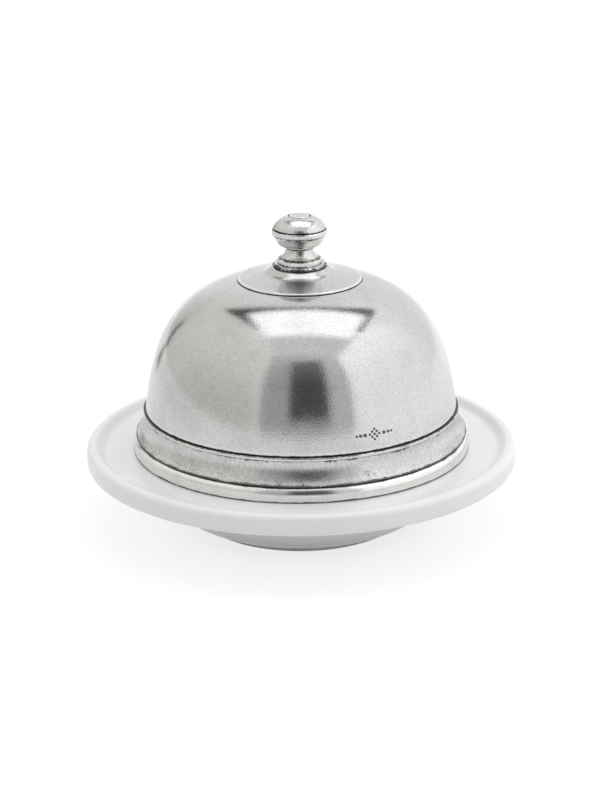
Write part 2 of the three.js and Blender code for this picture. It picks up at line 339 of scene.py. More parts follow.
def asPlainMesh(holder, name):  # the evaluated object as a plain mesh, and the holder goes
    bpy.context.view_layer.update()
    evaluated = holder.evaluated_get(bpy.context.evaluated_depsgraph_get())
    mesh = bpy.data.meshes.new_from_object(evaluated)
    mesh.name = name
    bpy.data.objects.remove(holder)
    return mesh


def signedVolume(mesh):
    mesh.calc_loop_triangles()
    total = 0.0
    for triangle in mesh.loop_triangles:
        a, b, c = (mesh.vertices[index].co for index in triangle.vertices)
        total += a.dot(b.cross(c)) / 6
    return total


def turnPiece(name, corners, piece, material, addMore=None):
    closed = corners[0][0].x > 0
    outline = roundedOutline(corners, closed)
    if closed:
        outline = outline + outline[:1]
    outline = withRows(outline, piece["rowGap"], piece.get("fineRows"))
    holder = outlineObject(name, outline[:-1] if closed else outline, closed, piece)
    addTree(holder, latheTree, {
        "Columns": piece["columns"],
        "Crowding": piece.get("crowding", 0.0),
        "Crowding Angle": math.radians(piece.get("crowdingAngle", 0.0)),
        "Wobble": piece.get("wobble", 0.0) * mm,
        "Wobble Size": piece.get("wobbleSize", 12.0) * mm,
        "Seed": float(piece.get("seed", 1)),
        "Finish": material,
    })
    if addMore:
        addMore(holder)
    mesh = asPlainMesh(holder, name)
    if signedVolume(mesh) < 0:
        mesh.flip_normals()
    mesh.set_sharp_from_angle(angle=sharpAngle)
    print(name, "turned:", len(mesh.polygons), "faces")
    return linkScene(name, mesh)


def seatPiece(piece, node, body):
    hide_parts(node)
    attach(piece, body)


# pewter, from one recipe, with a finish of its own on each piece
def makePewter(name, finish):
    material, tree, shader = newMaterial(name)
    place = addNode(tree, "ShaderNodeTexCoord").outputs["Object"]
    grain = centred(tree, noiseOn(tree, place, finish["grainScale"], detail=2.0, roughness=0.65))
    cloud = noiseOn(tree, place, finish["cloudScale"], detail=5.0, roughness=0.65)
    fleck = noiseOn(tree, place, finish["fleckScale"], detail=2.0, roughness=0.7)
    patch = noiseOn(tree, place, finish["patchScale"], detail=2.0)
    # turning lines are long round the piece and fine along its outline
    outward = calcVector(tree, "NORMALIZE", calcVector(tree, "MULTIPLY", place, (1, 1, 0)))
    lineRun = calc(tree, "MULTIPLY", attributeOf(tree, "run"), finish["lineScale"])
    lineUp = addNode(tree, "ShaderNodeCombineXYZ", {"Z": lineRun}).outputs[0]
    lineOut = calcVector(tree, "SCALE", outward, Scale=finish["linesRound"])
    linePlace = calcVector(tree, "ADD", lineOut, lineUp)
    lines = centred(tree, noiseOn(tree, linePlace, 1.0, detail=3.0, roughness=0.6))
    # dark patina and painted shade lie in the recesses, gaps and joints, with a ragged edge, and patina
    # lies as clouds and flecks elsewhere
    ragged = calc(tree, "MULTIPLY", centred(tree, fleck), finish["ragged"])
    ragged = calc(tree, "MULTIPLY_ADD", centred(tree, patch), finish["patchy"], ragged)
    inRecess = ramp(tree, calc(tree, "ADD", attributeOf(tree, "patina"), ragged), *finish["recessEdge"])
    clouded = ramp(tree, cloud, *finish["cloudEdge"], 0.0, finish["clouds"])
    flecked = ramp(tree, fleck, *finish["fleckEdge"], 0.0, finish["flecks"])
    stain = calc(tree, "MAXIMUM", clouded, flecked)
    sheen = calc(tree, "MULTIPLY", grain, finish["grain"])
    streak = calc(tree, "MULTIPLY", lines, finish["lines"])
    # the arrises are lighter: partly rubbed polish, partly painted highlight
    polish = calc(tree, "MULTIPLY", attributeOf(tree, "polish"), finish["polish"])
    tone = calc(tree, "ADD", calc(tree, "ADD", 1.0, sheen), calc(tree, "ADD", streak, polish))
    warm = ramp(tree, cloud, *finish["warmEdge"], 1.0, 0.0)
    tinted = mixColour(tree, warm, finish["colour"], finish["warmColour"])
    metal = calcVector(tree, "SCALE", tinted, Scale=tone)
    stained = mixColour(tree, stain, metal, finish["stainColour"])
    colour = mixColour(tree, inRecess, stained, finish["patinaAndShadeColour"])
    tree.links.new(colour, shader.inputs["Base Color"])
    rough = calc(tree, "MULTIPLY_ADD", grain, finish["grainRough"], finish["roughness"])
    rough = calc(tree, "MULTIPLY_ADD", stain, finish["stainRough"], rough)
    rough = calc(tree, "MULTIPLY_ADD", inRecess, finish["recessRough"], rough)
    tree.links.new(rough, shader.inputs["Roughness"])
    shader.inputs["Metallic"].default_value = 1.0
    relief = calc(tree, "MULTIPLY", grain, finish["grainRelief"])
    bumpOn(tree, shader, calc(tree, "MULTIPLY_ADD", lines, finish["lineRelief"], relief))
    return material


pewterBase = {
    "colour": (0.620, 0.621, 0.618, 1.0), "warmColour": (0.627, 0.622, 0.609, 1.0),
    "patinaAndShadeColour": (0.15, 0.148, 0.14, 1.0), "stainColour": (0.32, 0.315, 0.295, 1.0),
    "roughness": 0.12, "grainRough": 0.08, "stainRough": 0.15, "recessRough": 0.3,
    "grain": 0.6, "grainScale": 1300.0, "grainRelief": 0.025,
    "lines": 0.08, "lineScale": 1500.0, "linesRound": 2.5, "lineRelief": 0.002,
    "clouds": 0.2, "cloudScale": 95.0, "flecks": 0.10, "fleckScale": 1100.0,
    "ragged": 0.7, "patchScale": 170.0, "patchy": 0.9, "polish": 0.25,
    # where each noise starts to show, and where it shows in full
    "recessEdge": (0.3, 0.62), "cloudEdge": (0.45, 0.75),
    "fleckEdge": (0.60, 0.74), "warmEdge": (0.38, 0.55),
}
bandFinish = {
    "colour": (0.585, 0.584, 0.578, 1.0), "roughness": 0.25,
    "grain": 0.9, "clouds": 0.15, "flecks": 0.3, "ragged": 0.8,
}
beadFinish = {
    "colour": (0.82, 0.82, 0.815, 1.0), "warmColour": (0.83, 0.825, 0.81, 1.0), "roughness": 0.15,
    "grain": 0.25, "grainRelief": 0.01, "flecks": 0.05, "ragged": 0.4,
}
crownFinish = {"roughness": 0.19}
knobFinish = {
    "colour": (0.66, 0.66, 0.655, 1.0), "warmColour": (0.67, 0.665, 0.65, 1.0),
    "patinaAndShadeColour": (0.08, 0.079, 0.076, 1.0), "roughness": 0.16,
    "grain": 0.9, "grainScale": 1500.0, "grainRelief": 0.04,
    "lines": 0.25, "lineScale": 1300.0, "fleckScale": 1000.0, "ragged": 1.3,
}

spunPewter = makePewter("spunPewter", pewterBase)
bandPewter = makePewter("castBandPewter", {**pewterBase, **bandFinish})
beadPewter = makePewter("polishedBeadPewter", {**pewterBase, **beadFinish})
crownPewter = makePewter("crownDiscPewter", {**pewterBase, **crownFinish})
knobPewter = makePewter("turnedKnobPewter", {**pewterBase, **knobFinish})
print("pewter finishes made")


# white glaze on stoneware, left bare where the foot ring stood in the kiln
def makeGlaze(finish):
    material, tree, shader = newMaterial("whiteGlaze")
    place = addNode(tree, "ShaderNodeTexCoord").outputs["Object"]
    cloud = noiseOn(tree, place, finish["cloudScale"], detail=3.0)
    peel = noiseOn(tree, place, finish["peelScale"], detail=1.0)
    clay = noiseOn(tree, place, finish["clayScale"], detail=4.0, roughness=0.7)
    edge = calc(tree, "MULTIPLY_ADD", clay, finish["bareRagged"], attributeOf(tree, "patina"))
    bare = ramp(tree, edge, *finish["bareEdge"])
    thin = ramp(tree, cloud, *finish["mottle"])
    dark = ramp(tree, clay, *finish["mottle"])
    glazed = mixColour(tree, thin, finish["colour"], finish["thinColour"])
    unglazed = mixColour(tree, dark, finish["clayColour"], finish["clayDark"])
    tree.links.new(mixColour(tree, bare, glazed, unglazed), shader.inputs["Base Color"])
    rough = ramp(tree, bare, 0.0, 1.0, finish["roughness"], finish["clayRoughness"])
    tree.links.new(rough, shader.inputs["Roughness"])
    relief = calc(tree, "MULTIPLY", calc(tree, "MULTIPLY", bare, clay), finish["clayRelief"])
    bumpOn(tree, shader, calc(tree, "MULTIPLY_ADD", peel, finish["peel"], relief))
    shader.inputs["IOR"].default_value = finish["ior"]
    return material


whiteGlaze = makeGlaze({
    "colour": (0.88, 0.881, 0.879, 1.0), "thinColour": (0.866, 0.866, 0.858, 1.0),
    "clayColour": (0.60, 0.54, 0.45, 1.0), "clayDark": (0.50, 0.44, 0.36, 1.0),
    "roughness": 0.18, "ior": 1.5, "cloudScale": 45.0, "peelScale": 260.0, "peel": 0.012,
    "clayRoughness": 0.75, "clayScale": 700.0, "clayRelief": 0.05,
    "mottle": (0.35, 0.7), "bareEdge": (0.4, 0.5), "bareRagged": 0.15,
})


# plain steel for the screw and its washer
def makeSteel(finish):
    material, tree, shader = newMaterial("plainSteel")
    place = addNode(tree, "ShaderNodeTexCoord").outputs["Object"]
    mottle = noiseOn(tree, place, finish["mottleScale"], detail=4.0)
    lineRun = calc(tree, "MULTIPLY", attributeOf(tree, "run"), finish["lineScale"])
    lineUp = addNode(tree, "ShaderNodeCombineXYZ", {"Z": lineRun}).outputs[0]
    lines = noiseOn(tree, lineUp, 1.0, detail=2.0)
    colour = mixColour(tree, mottle, finish["colour"], finish["dullColour"])
    tree.links.new(colour, shader.inputs["Base Color"])
    rough = ramp(tree, mottle, *finish["mottle"], *finish["roughness"])
    tree.links.new(rough, shader.inputs["Roughness"])
    shader.inputs["Metallic"].default_value = 1.0
    bumpOn(tree, shader, calc(tree, "MULTIPLY", lines, finish["lineRelief"]))
    return material


plainSteel = makeSteel({
    "colour": (0.42, 0.42, 0.43, 1.0), "dullColour": (0.30, 0.30, 0.31, 1.0), "roughness": (0.28, 0.42),
    "mottleScale": 400.0, "mottle": (0.3, 0.7), "lineScale": 2500.0, "lineRelief": 0.006,
})
print("glaze and steel made")

# in each piece below, recesses hold patina and painted shade, and arrises are polished and hold painted
# highlights: (radius, height, reach, strength)

# the dish: foot ring, bowl, flat rim with a raised lip, ledge and well
dish = {
    "radius": 82.47, "lipTop": 31.48, "lipInside": 77.2, "lipLean": 1.4, "ledge": 29.2, "underside": 23.2,
    "bowlTop": 56.7, "bowlBottom": 50.2, "wellTop": 51.2, "wellBottom": 44.7, "floor": 8.7,
    "foot": 39.0, "footInside": 34.0, "footTop": 3.1, "standingFace": 0.02,
    "footRound": 0.9, "footHollow": 1.2, "bowlRound": 18.0, "bowlEdge": 2.0, "rimRound": 2.4,
    "lipRound": 1.8, "ledgeHollow": 3.0, "wellEdge": 2.0, "wellRound": 12.5,
    "columns": 288, "rowGap": 1.6, "wobble": 0.08, "wobbleSize": 40.0, "seed": 3,
    "recesses": [(36.5, 0.0, 4.2, 1.0)],  # here the bare clay of the foot ring
}
dishCorners = [
    corner(0, dish["footTop"]),
    corner(dish["footInside"], dish["footTop"], dish["footRound"]),
    corner(dish["footInside"], dish["standingFace"], dish["footRound"]),
    corner(dish["foot"], dish["standingFace"], dish["footRound"]),
    corner(dish["foot"], dish["footTop"], dish["footHollow"]),
    corner(dish["bowlBottom"], dish["footTop"], dish["bowlRound"]),
    corner(dish["bowlTop"], dish["underside"], dish["bowlEdge"]),
    corner(dish["radius"], dish["underside"], dish["rimRound"]),
    corner(dish["radius"], dish["lipTop"], dish["rimRound"]),
    corner(dish["lipInside"] + dish["lipLean"], dish["lipTop"], dish["lipRound"]),
    corner(dish["lipInside"] - dish["lipLean"], dish["ledge"], dish["ledgeHollow"]),
    corner(dish["wellTop"], dish["ledge"], dish["wellEdge"]),
    corner(dish["wellBottom"], dish["floor"], dish["wellRound"]),
    corner(0, dish["floor"]),
]
glazedDish = turnPiece("glazedDish", dishCorners, dish, whiteGlaze)
seatPiece(glazedDish, "dish", "dish")

# the bead that the cover stands on: upright below, rolled in above
bead = {
    "inside": 59.4, "radius": 64.3, "foot": 29.2, "footRound": 0.4, "top": 34.9,
    "rollReach": 2.3, "rollRise": 3.6, "rollRows": 28,
    "columns": 256, "rowGap": 0.8, "wobble": 0.03, "wobbleSize": 14.0, "seed": 5,
    # patina and painted shade in the groove under the band, a painted contact shadow where the bead stands
    # on the ledge, and a painted highlight on the roll
    "recesses": [(61.9, 34.9, 2.4, 1.0), (59.4, 34.9, 3.0, 1.0), (64.1, 29.2, 1.2, 1.0)],
    "arrises": [(63.6, 33.9, 0.9, 0.6)],
}
rollCentre = (bead["radius"] - bead["rollReach"], bead["top"] - bead["rollRise"])
beadRoll = ellipseRun(rollCentre, (bead["rollReach"], bead["rollRise"]), 0, 90, bead["rollRows"])
beadCorners = [
    corner(bead["inside"], bead["foot"]),
    corner(bead["radius"], bead["foot"], bead["footRound"]),
    *beadRoll,
    corner(bead["inside"], bead["top"]),
]
coverBead = turnPiece("coverBead", beadCorners, bead, beadPewter)
seatPiece(coverBead, "foot_bead", "cover")

# the band: skirt, arris, cove, fillet and the spigot inside the dome
band = {
    "inside": 55.7, "skirt": 59.1, "skirtFoot": 29.8, "arris": 63.4, "arrisHeight": 35.3,
    "neck": 60.1, "coveBend": 38.3, "coveTop": 43.7, "fillet": 60.5, "top": 45.2,
    "spigot": 57.3, "spigotTop": 48.2, "spigotLean": 0.406,
    "arrisBevel": 0.35, "arrisRound": 0.15, "coveRows": 26,
    "filletStep": 0.4, "filletHollow": 0.12, "filletRound": 0.6,
    "columns": 256, "rowGap": 0.7, "wobble": 0.04, "wobbleSize": 10.0, "seed": 7,
    # patina and painted shade in the groove over the bead and at the seam, a painted shadow under the
    # fillet, the cove darker, and a painted highlight on the fillet
    "recesses": [(63.1, 34.9, 1.5, 1.0), (60.2, 43.7, 1.3, 0.42), (59.6, 45.2, 1.4, 1.0),
                 (62.0, 37.0, 5.0, 0.24)],
    "arrises": [(60.5, 44.5, 0.5, 1.0)],
}
coveFoot = (band["arris"], band["arrisHeight"])
coveBend = (band["neck"], band["coveBend"])
coveTop = (band["neck"], band["coveTop"])
bandCorners = [
    corner(band["inside"], band["skirtFoot"]),
    corner(band["skirt"], band["skirtFoot"]),
    corner(band["skirt"], bead["top"]),
    corner(band["arris"] - band["arrisBevel"], bead["top"], band["arrisRound"]),
    *bezierRun([coveFoot, coveBend, coveTop], band["coveRows"]),
    corner(band["fillet"], band["coveTop"] + band["filletStep"], band["filletHollow"]),
    corner(band["fillet"], band["top"], band["filletRound"]),
    corner(band["spigot"], band["top"]),
    corner(band["spigot"] - band["spigotLean"], band["spigotTop"]),
    corner(band["inside"] - band["spigotLean"], band["spigotTop"]),
    corner(band["inside"], band["top"]),
]
covedBand = turnPiece("covedBand", bandCorners, band, bandPewter)
seatPiece(covedBand, "base_band", "cover")

# the dome: one spun shell that leans in, rolls over the shoulder and flattens at the crown
dome = {
    "foot": (59.6, 45.2), "crownEdge": (23.5, 95.2), "crownFlat": (8.0, 97.73), "bore": 2.3, "wall": 2.0,
    "flankLean": 7.7, "flankReach": 26.0, "crownSlope": 13.7, "shoulderReach": 27.7,
    "footRound": 0.6, "flankRows": 64, "crownRows": 12,
    "columns": 352, "rowGap": 1.1, "wobble": 0.05, "wobbleSize": 14.0, "seed": 11,
    # closer rows and columns for the dots
    "fineRows": {"from": 48.9, "to": 54.1, "beyond": 57.5, "gap": 0.16},
    "crowding": 0.85, "crowdingAngle": -63.0,
    # patina and painted shade in the seam at the foot and under the disc's edge, and a painted highlight
    # on the rounded foot
    "recesses": [(59.5, 45.1, 1.3, 1.0), (23.5, 95.2, 0.7, 0.9)],
    "arrises": [(59.5, 46.2, 0.9, 0.5)],
}
domeFoot = Vector(dome["foot"])
crownEdge = Vector(dome["crownEdge"])
crownFlat = Vector(dome["crownFlat"])
flankLean = math.radians(dome["flankLean"])
crownSlope = math.radians(dome["crownSlope"])
flankBend = domeFoot + Vector((-math.sin(flankLean), math.cos(flankLean))) * dome["flankReach"]
shoulderBend = crownEdge + Vector((math.cos(crownSlope), -math.sin(crownSlope))) * dome["shoulderReach"]
bendRadius = (crownEdge.x + crownFlat.x) / 2
crownBend = Vector((bendRadius, crownEdge.y + (crownEdge.x - bendRadius) * math.tan(crownSlope)))
flankRun = bezierRun([domeFoot, flankBend, shoulderBend, crownEdge], dome["flankRows"])
crownRun = bezierRun([crownEdge, crownBend, crownFlat], dome["crownRows"])
insideRun = besideRun(flankRun, -dome["wall"])[1:] + besideRun(crownRun, -dome["wall"])[1:-1]
insideFlat = crownFlat.y - dome["wall"]
domeCorners = [
    (domeFoot, dome["footRound"]),
    *flankRun[1:],
    *crownRun[1:],
    corner(dome["bore"], crownFlat.y),
    corner(dome["bore"], insideFlat),
    corner(crownFlat.x, insideFlat),
    *reversed(insideRun),
    corner(domeFoot.x - dome["wall"], domeFoot.y),
]

# punched dots low on the dome: a lozenge of nine, and a row on each side that dwindles
dots = {
    "angle": -63.0, "height": 51.5, "depth": 0.3, "lozengeStep": 0.95, "lozengeSize": 0.52,
    "row": [(3.9, 0.75), (5.7, 0.62), (7.2, 0.5)],  # distance along the row, size
    "darkEdge": (0.7, 1.15), "dentEdge": (0.45, 1.0),  # in sizes of a dot
}


def makeDotTree():
    tree, given = newTree("punchDots", [
        ("Piece", "NodeSocketGeometry", None),
        ("Dots", "NodeSocketObject", None),
        ("Depth", "NodeSocketFloat", 0.0003),
        ("Finish", "NodeSocketMaterial", None),
    ])
    marks = addNode(tree, "GeometryNodeObjectInfo", {"Object": given["Dots"]}).outputs["Geometry"]
    nearest = addNode(tree, "GeometryNodeSampleNearest", {"Geometry": marks}).outputs["Index"]
    position = addNode(tree, "GeometryNodeInputPosition").outputs[0]

    def fromDot(value, kind):
        inputs = {"Geometry": marks, "Value": value, "Index": nearest}
        return addNode(tree, "GeometryNodeSampleIndex", inputs, data_type=kind).outputs[0]

    away = measure(tree, "DISTANCE", position, fromDot(position, "FLOAT_VECTOR"))
    share = calc(tree, "DIVIDE", away, fromDot(storedValue(tree, "size"), "FLOAT"))
    inDot = ramp(tree, share, *dots["darkEdge"], 1.0, 0.0)
    dark = calc(tree, "MAXIMUM", storedValue(tree, "patina"), inDot)
    geometry = storeValue(tree, given["Piece"], "patina", dark)
    dent = calc(tree, "MULTIPLY", ramp(tree, share, *dots["dentEdge"], -1.0, 0.0), given["Depth"])
    normal = addNode(tree, "GeometryNodeInputNormal").outputs[0]
    geometry = movePoints(tree, geometry, Offset=calcVector(tree, "SCALE", normal, Scale=dent))
    finishTree(tree, geometry, given["Finish"])
    return tree


def addDots(holder):
    below = [point for point, _ in flankRun if point.y < dots["height"]][-1]
    above = [point for point, _ in flankRun if point.y >= dots["height"]][0]
    radius = below.lerp(above, (dots["height"] - below.y) / (above.y - below.y)).x
    lean = (above.x - below.x) / (above.y - below.y)
    step = dots["lozengeStep"]
    spots = []
    for i in (-1, 0, 1):
        spots += [((i - j) * step, (i + j) * step, dots["lozengeSize"]) for j in (-1, 0, 1)]
    for side in (-1, 1):
        spots += [(side * aside, 0.0, size) for aside, size in dots["row"]]
    places = []
    for aside, up, _ in spots:
        angle = math.radians(dots["angle"]) + aside / radius
        reach = (radius + up * lean) * mm
        places.append((reach * math.cos(angle), reach * math.sin(angle), (dots["height"] + up) * mm))
    mesh = bpy.data.meshes.new("dots")
    mesh.from_pydata(places, [], [])
    sizes = [size * mm for _, _, size in spots]
    mesh.attributes.new("size", "FLOAT", "POINT").data.foreach_set("value", sizes)
    marks = linkScene("dots", mesh)
    addTree(holder, makeDotTree(), {"Dots": marks, "Depth": dots["depth"] * mm, "Finish": spunPewter})


spunDome = turnPiece("spunDome", domeCorners, dome, spunPewter, addDots)
bpy.data.objects.remove(bpy.data.objects["dots"])
seatPiece(spunDome, "dome_shell", "cover")

# the disc bedded on the crown, flared up to a flat seat for the knob
disc = {
    "edgeThickness": 0.6, "edgeRound": 0.55, "seat": 10.5, "seatHeight": 100.38, "bed": 0.1, "bore": 2.3,
    "flare": (13.4, 98.2), "flareRound": 6.0,
    "columns": 192, "rowGap": 0.7, "wobble": 0.03, "wobbleSize": 9.0, "seed": 13,
    # a painted shadow line under the edge and round the knob's foot, with patina, and a painted highlight
    # on the rounded edge
    "recesses": [(23.5, 95.3, 0.45, 1.0), (10.2, 100.38, 0.6, 0.9)],
    "arrises": [(23.1, 95.85, 0.8, 1.6)],
}
discUnder = list(reversed(besideRun(crownRun, disc["bed"])))[1:]
discEdge = discUnder[-1][0]
discCorners = [
    corner(disc["bore"], crownFlat.y),
    (crownFlat, 0.0),
    *discUnder,
    corner(discEdge.x, discEdge.y + disc["edgeThickness"], disc["edgeRound"]),
    corner(*disc["flare"], disc["flareRound"]),
    corner(disc["seat"], disc["seatHeight"]),
    corner(disc["bore"], disc["seatHeight"]),
]
crownDisc = turnPiece("crownDisc", discCorners, disc, crownPewter)
seatPiece(crownDisc, "crown_plate", "cover")

# the knob, drawn from its seat up: stem, ball with a raised girdle, and a hollowed button let into its top
knobSeat = disc["seatHeight"]
stem = {
    "bore": 2.3, "foot": 10.2, "footTop": 1.45, "step": 8.3, "stepTop": 3.2,
    "waistBend": (5.4, 4.5), "waist": 5.05, "waistRows": 18, "top": 7.5,
    "footRound": 0.4, "footShoulder": 0.9, "stepBevel": (0.3, 0.1), "stepRound": 0.25,
    "columns": 128, "rowGap": 0.3, "wobble": 0.015, "wobbleSize": 5.0, "seed": 17,
    # patina and painted shade round the foot, on the step and in the waist, and a painted highlight on the
    # step's edge
    "recesses": [(10.2, knobSeat, 1.0, 1.0), (10.2, knobSeat + 0.5, 2.0, 0.7),
                 (9.4, knobSeat + 1.4, 1.6, 0.36), (8.3, knobSeat + 1.5, 0.7, 0.55),
                 (7.5, knobSeat + 3.4, 1.8, 0.5), (5.0, knobSeat + 7.5, 1.1, 0.8)],
    "arrises": [(8.3, knobSeat + 3.1, 0.5, 1.0)],
}
bevelIn, bevelDown = stem["stepBevel"]
waistFoot = (stem["step"] - bevelIn, stem["stepTop"])
waistTop = (stem["waist"], stem["top"])
stemCorners = [
    corner(stem["bore"], 0),
    corner(stem["foot"], 0, stem["footRound"]),
    corner(stem["foot"], stem["footTop"], stem["footShoulder"]),
    corner(stem["step"], stem["footTop"]),
    corner(stem["step"], stem["stepTop"] - bevelDown, stem["stepRound"]),
    *bezierRun([waistFoot, stem["waistBend"], waistTop], stem["waistRows"]),
    corner(stem["bore"], stem["top"]),
]
knobStem = turnPiece("knobStem", raised(stemCorners, knobSeat), stem, knobPewter)
seatPiece(knobStem, "knob_stem", "cover")

ball = {
    "bore": 2.3, "boreEnd": 14.8, "mouth": 9.85, "bowlBend": (8.9, 7.9), "bowlRows": 18,
    "girdle": 10.45, "girdleFoot": 12.35, "girdleTop": 14.55, "girdleRound": 0.9,
    "groove": 9.75, "grooveHeight": 0.35, "capCentre": 13.62, "capReach": (10.25, 6.35), "capRows": 22,
    "recess": 4.2, "recessFloor": 18.41,
    "columns": 144, "rowGap": 0.4, "wobble": 0.02, "wobbleSize": 6.0, "seed": 19,
    # patina and painted shade at the joint, under the girdle, in the groove and round the button, with
    # painted highlights on the girdle and the bowl
    "recesses": [(5.1, knobSeat + 7.5, 1.2, 0.6), (9.9, knobSeat + 12.3, 1.1, 0.45),
                 (9.75, knobSeat + 14.6, 0.9, 1.0), (4.2, knobSeat + 19.0, 0.7, 1.0)],
    "arrises": [(10.45, knobSeat + 14.15, 0.6, 1.0), (8.3, knobSeat + 10.4, 2.8, 1.2)],
}
capOut, capUp = ball["capReach"]
capRise = ball["girdleTop"] + ball["grooveHeight"] - ball["capCentre"]
capFoot = math.degrees(math.asin(capRise / capUp))
capEnd = math.degrees(math.acos(ball["recess"] / capOut))
ballCorners = [
    corner(0, ball["boreEnd"]),
    corner(ball["bore"], ball["boreEnd"]),
    corner(ball["bore"], stem["top"]),
    *bezierRun([waistTop, ball["bowlBend"], (ball["mouth"], ball["girdleFoot"])], ball["bowlRows"]),
    corner(ball["girdle"], ball["girdleFoot"], ball["girdleRound"]),
    corner(ball["girdle"], ball["girdleTop"], ball["girdleRound"]),
    corner(ball["groove"], ball["girdleTop"]),
    *ellipseRun((0, ball["capCentre"]), ball["capReach"], capFoot, capEnd, ball["capRows"]),
    corner(ball["recess"], ball["recessFloor"]),
    corner(0, ball["recessFloor"]),
]
knobBall = turnPiece("knobBall", raised(ballCorners, knobSeat), ball, knobPewter)
seatPiece(knobBall, "knob_ball", "cover")

button = {
    "radius": 3.9, "top": 19.6, "edgeRound": 0.45, "hollow": 3.0, "hollowDepth": 0.4, "hollowRows": 8,
    "columns": 96, "rowGap": 0.3, "wobble": 0.01, "wobbleSize": 4.0, "seed": 23,
    # patina and painted shade in the ring round the button, and a painted highlight on its rim
    "recesses": [(3.9, knobSeat + 18.9, 0.6, 1.0)],
    "arrises": [(3.4, knobSeat + 19.6, 0.5, 1.0)],
}
hollowFloor = button["top"] - button["hollowDepth"]
hollowEdge = (button["hollow"], button["top"])
hollowBend = (button["hollow"] / 2, hollowFloor)
buttonCorners = [
    corner(0, ball["recessFloor"]),
    corner(button["radius"], ball["recessFloor"]),
    corner(button["radius"], button["top"], button["edgeRound"]),
    *bezierRun([hollowEdge, hollowBend, (0, hollowFloor)], button["hollowRows"]),
]
knobButton = turnPiece("knobButton", raised(buttonCorners, knobSeat), button, knobPewter)
seatPiece(knobButton, "knob_button", "cover")

# the screw and its washer, inside the dome
screw = {
    "shank": 2.0, "headFoot": 92.13, "headTop": 94.73, "head": 3.8, "headRound": 1.2,
    "tip": 114.38, "tipBevel": 0.6, "slotWidth": 1.1, "slotDepth": 1.3,
    "threadFoot": 97.0, "pitch": 0.7, "threadDepth": 0.4, "threadRunIn": 2.0, "shankSlack": 0.02,
    "columns": 48, "rowGap": 0.12, "wobble": 0.0, "seed": 29,
}
washer = {
    "inside": 2.3, "radius": 6.0, "top": 95.73, "insideRound": 0.1, "edgeRound": 0.2,
    "columns": 96, "rowGap": 0.6, "wobble": 0.01, "seed": 31,
}


def makeThreadTree():  # cuts a helix into the shank
    tree, given = newTree("cutThread", [
        ("Piece", "NodeSocketGeometry", None),
        ("Shank", "NodeSocketFloat", 0.002),
        ("Foot", "NodeSocketFloat", 0.0),
        ("Pitch", "NodeSocketFloat", 0.0007),
        ("Depth", "NodeSocketFloat", 0.0004),
        ("Finish", "NodeSocketMaterial", None),
    ])
    position = addNode(tree, "GeometryNodeInputPosition").outputs[0]
    axis = addNode(tree, "ShaderNodeSeparateXYZ", {0: position}).outputs
    turn = calc(tree, "DIVIDE", calc(tree, "ARCTAN2", axis["Y"], axis["X"]), math.tau)
    height = calc(tree, "DIVIDE", calc(tree, "SUBTRACT", axis["Z"], given["Foot"]), given["Pitch"])
    groove = calc(tree, "PINGPONG", calc(tree, "SUBTRACT", height, turn), 0.5)
    radius = measure(tree, "LENGTH", calcVector(tree, "MULTIPLY", position, (1, 1, 0)))
    onShank = calc(tree, "COMPARE", radius, given["Shank"], screw["shankSlack"] * mm)
    started = ramp(tree, height, 0.0, screw["threadRunIn"])  # height is in pitches
    depth = calc(tree, "MULTIPLY", calc(tree, "MULTIPLY", onShank, started), given["Depth"])
    inward = calcVector(tree, "NORMALIZE", calcVector(tree, "MULTIPLY", position, (-1, -1, 0)))
    bite = calc(tree, "MULTIPLY", calc(tree, "MULTIPLY", groove, 2.0), depth)
    cut = calcVector(tree, "SCALE", inward, Scale=bite)
    finishTree(tree, movePoints(tree, given["Piece"], Offset=cut), given["Finish"])
    return tree


def addThreadAndSlot(holder):
    addTree(holder, makeThreadTree(), {
        "Shank": screw["shank"] * mm, "Foot": screw["threadFoot"] * mm, "Pitch": screw["pitch"] * mm,
        "Depth": screw["threadDepth"] * mm, "Finish": plainSteel})
    long, wide, deep = screw["head"] * 2 * mm, screw["slotWidth"] / 2 * mm, screw["slotDepth"] * mm
    foot = screw["headFoot"] * mm
    mesh = bpy.data.meshes.new("slotCutter")
    mesh.from_pydata(
        [(x, y, z) for z in (foot - deep, foot + deep) for y in (-wide, wide) for x in (-long, long)], [],
        [(0, 2, 3, 1), (4, 5, 7, 6), (0, 1, 5, 4), (2, 6, 7, 3), (0, 4, 6, 2), (1, 3, 7, 5)])
    mesh.materials.append(plainSteel)
    modifier = holder.modifiers.new("slot", "BOOLEAN")
    modifier.operation = "DIFFERENCE"
    modifier.solver = "EXACT"
    modifier.object = linkScene("slotCutter", mesh)


screwCorners = [
    corner(0, screw["headFoot"]),
    corner(screw["head"], screw["headFoot"], screw["headRound"]),
    corner(screw["head"], screw["headTop"]),
    corner(screw["shank"], screw["headTop"]),
    corner(screw["shank"], screw["tip"] - screw["tipBevel"]),
    corner(screw["shank"] - screw["tipBevel"], screw["tip"]),
    corner(0, screw["tip"]),
]
knobScrew = turnPiece("knobScrew", screwCorners, screw, plainSteel, addThreadAndSlot)
bpy.data.objects.remove(bpy.data.objects["slotCutter"])
seatPiece(knobScrew, "knob_screw", "cover")

washerCorners = [
    corner(washer["inside"], screw["headTop"], washer["insideRound"]),
    corner(washer["radius"], screw["headTop"], washer["edgeRound"]),
    corner(washer["radius"], washer["top"], washer["edgeRound"]),
    corner(washer["inside"], washer["top"], washer["insideRound"]),
]
screwWasher = turnPiece("screwWasher", washerCorners, washer, plainSteel)
seatPiece(screwWasher, "screw_washer", "cover")

